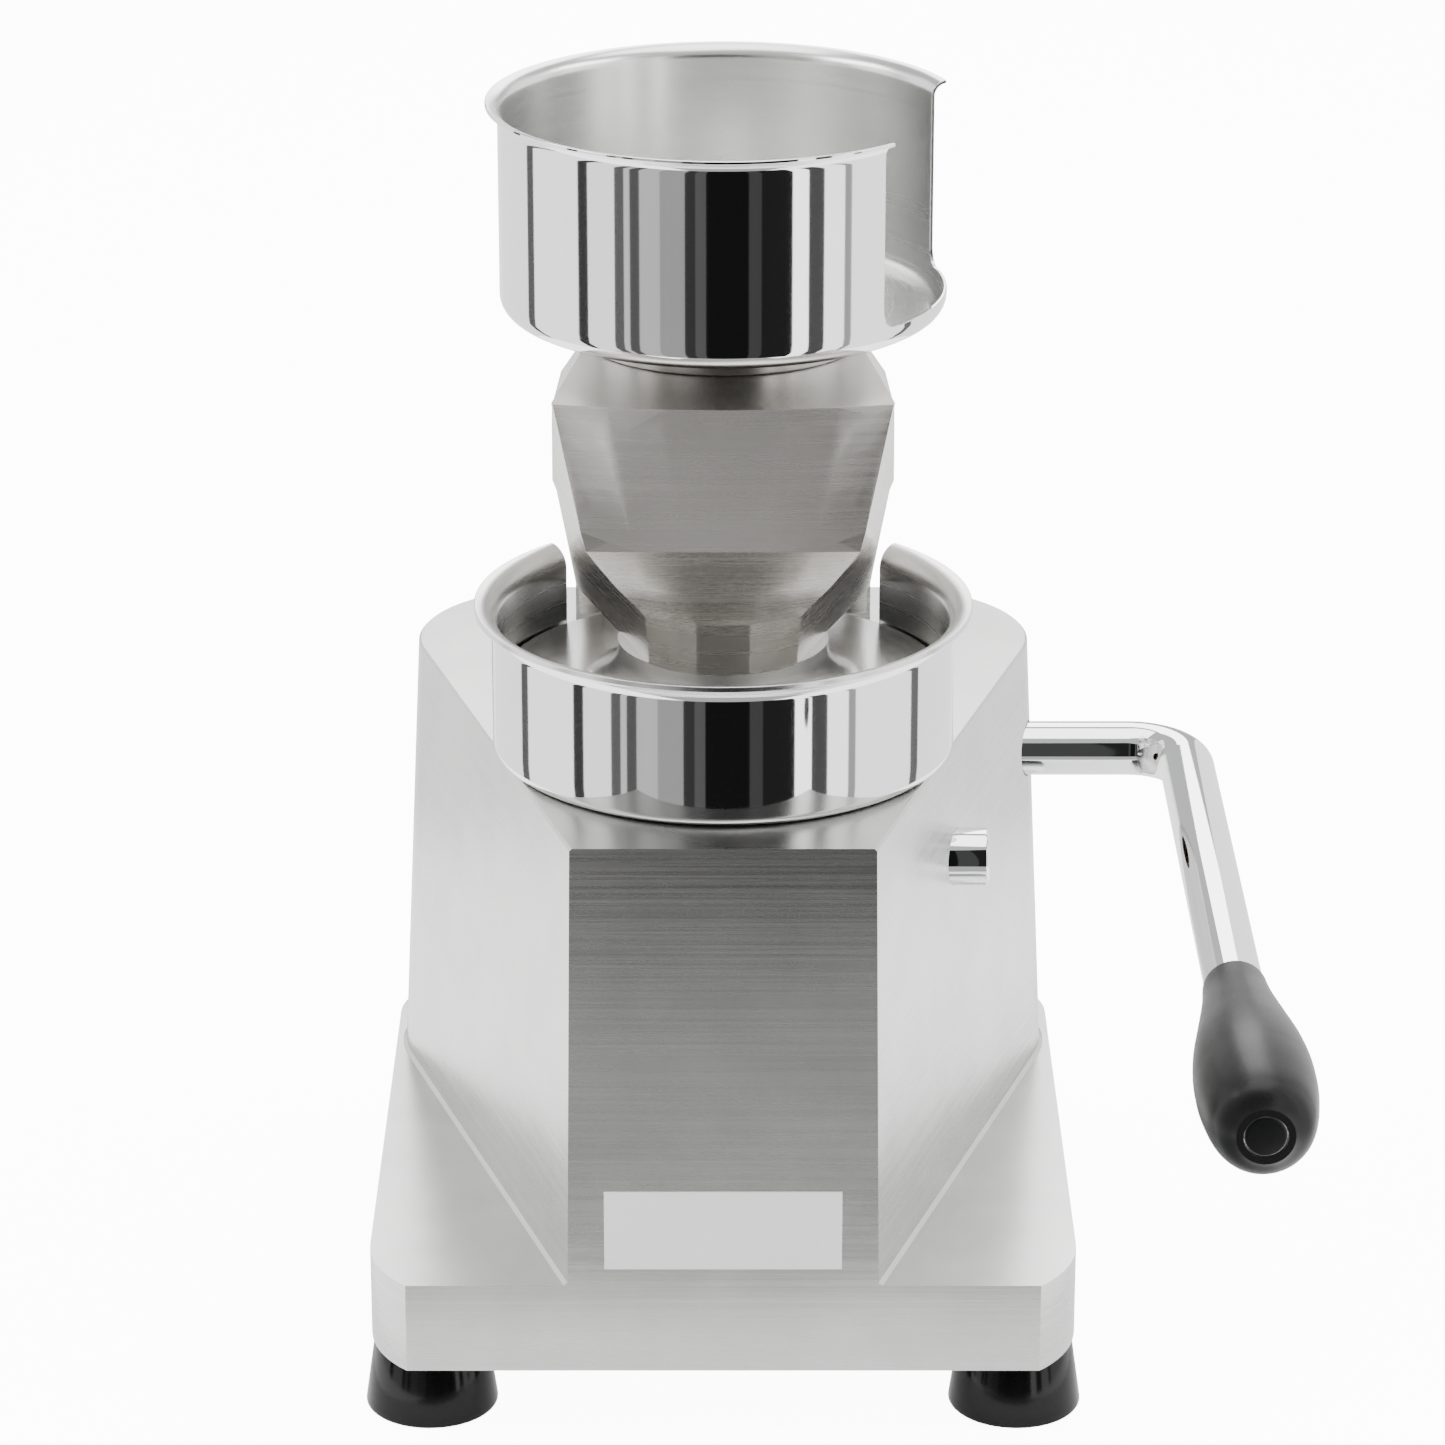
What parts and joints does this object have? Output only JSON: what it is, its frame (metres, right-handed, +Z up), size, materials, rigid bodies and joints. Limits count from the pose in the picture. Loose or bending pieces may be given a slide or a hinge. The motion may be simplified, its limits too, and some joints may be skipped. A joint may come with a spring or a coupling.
{
  "type": "patty press",
  "caption": "Hand press that squeezes a ball of mince into a round patty: cast body, round mould bowl, hinged head with paper cup, lifting plate and side handle.",
  "frame": {"origin": "centre of the whole press's footprint, grip included, on the surface that it stands on", "axes": "+Z up, front toward -Y (the operator's side), +X to the operator's right, where the handle is"},
  "size_m": [0.3015, 0.39, 0.4331],
  "materials": {
    "cast_aluminium": "satin-ground cast aluminium with fine horizontal grain",
    "polished_steel": "mirror-polished stainless sheet outside, satin inside",
    "turned_aluminium": "fine turned satin",
    "chromed_bar": "bright chromium plate",
    "black_grip": "satin black moulded plastic",
    "black_foot": "glossy black moulded plastic",
    "bronze_bush": "sintered bronze",
    "linkage_steel": "ground steel",
    "plated_screw": "zinc-plated steel",
    "blank_label": "plain white blank plate",
    "cover_sheet": "plain sheet steel"
  },
  "bodies": {
    "root": {"body_casting": "cast_aluminium", "bottom_cover": "cover_sheet", "cover_screws": "plated_screw", "foot_front_left": "black_foot", "foot_front_right": "black_foot", "foot_rear_left": "black_foot", "foot_rear_right": "black_foot", "foot_bolts": "plated_screw", "mould_bowl": "polished_steel", "bowl_screws": "plated_screw", "lift_rod_guide": "bronze_bush", "shaft_bush_left": "bronze_bush", "shaft_bush_right": "bronze_bush", "hinge_pin": "linkage_steel", "hinge_grub_screws": "plated_screw", "label_plate": "blank_label", "stop_spring": "linkage_steel", "hinge_bracket_left": "cast_aluminium", "hinge_bracket_right": "cast_aluminium", "hinge_bracket_bolts": "plated_screw"},
    "handle": {"handle_rod": "chromed_bar", "handle_grip": "black_grip", "grip_cap": "black_foot", "press_crank": "linkage_steel", "press_crank_pin": "linkage_steel", "lift_crank": "linkage_steel", "lift_crank_pin": "linkage_steel", "shaft_collar": "linkage_steel", "crank_grub_screws": "plated_screw"},
    "link": {"connecting_link": "linkage_steel"},
    "head": {"head_casting": "cast_aluminium", "head_bush_left": "bronze_bush", "head_bush_right": "bronze_bush", "head_link_pin": "linkage_steel", "press_disc": "turned_aluminium", "disc_screw": "plated_screw", "cup_spacer": "turned_aluminium", "paper_cup": "polished_steel", "cup_screws": "plated_screw"},
    "lifter": {"lift_plate": "turned_aluminium", "lift_plate_screw": "plated_screw", "lift_rod": "linkage_steel", "lift_yoke": "linkage_steel", "yoke_bolt": "plated_screw"},
    "plunger": {"stop_knob": "chromed_bar", "stop_pin": "linkage_steel", "stop_collar": "linkage_steel"}
  },
  "joints": [
    {"name": "handle_turn", "type": "hinge", "parent": "root", "child": "handle", "pos_m": [-0.03055, 0.127, 0.173], "axis": [-1, 0, 0], "range_deg": [0, 85]},
    {"name": "head_lift", "type": "hinge", "parent": "root", "child": "head", "pos_m": [-0.03055, 0.16, 0.2466], "axis": [-1, 0, 0], "range_deg": [0, 85]},
    {"name": "link_turn", "type": "hinge", "parent": "handle", "child": "link", "pos_m": [0.00645, 0.10232, 0.16481], "axis": [-1, 0, 0], "range_deg": [-85, 0]},
    {"name": "plate_lift", "type": "slide", "parent": "root", "child": "lifter", "axis": [0, 0, 1], "range_m": [0, 0.0379]},
    {"name": "knob_pull", "type": "slide", "parent": "root", "child": "plunger", "axis": [1, 0, 0], "range_m": [0, 0.008], "stiffness_N_per_m": 600, "springref_m": -0.004, "deforming": ["stop_spring"]}
  ],
  "couplings": [
    {"joint": "head_lift", "follows": "handle_turn", "ratio": 1},
    {"joint": "link_turn", "follows": "handle_turn", "ratio": -1},
    {"joint": "plate_lift", "follows": "handle_turn", "m_per_rad": 0.0255}
  ]
}
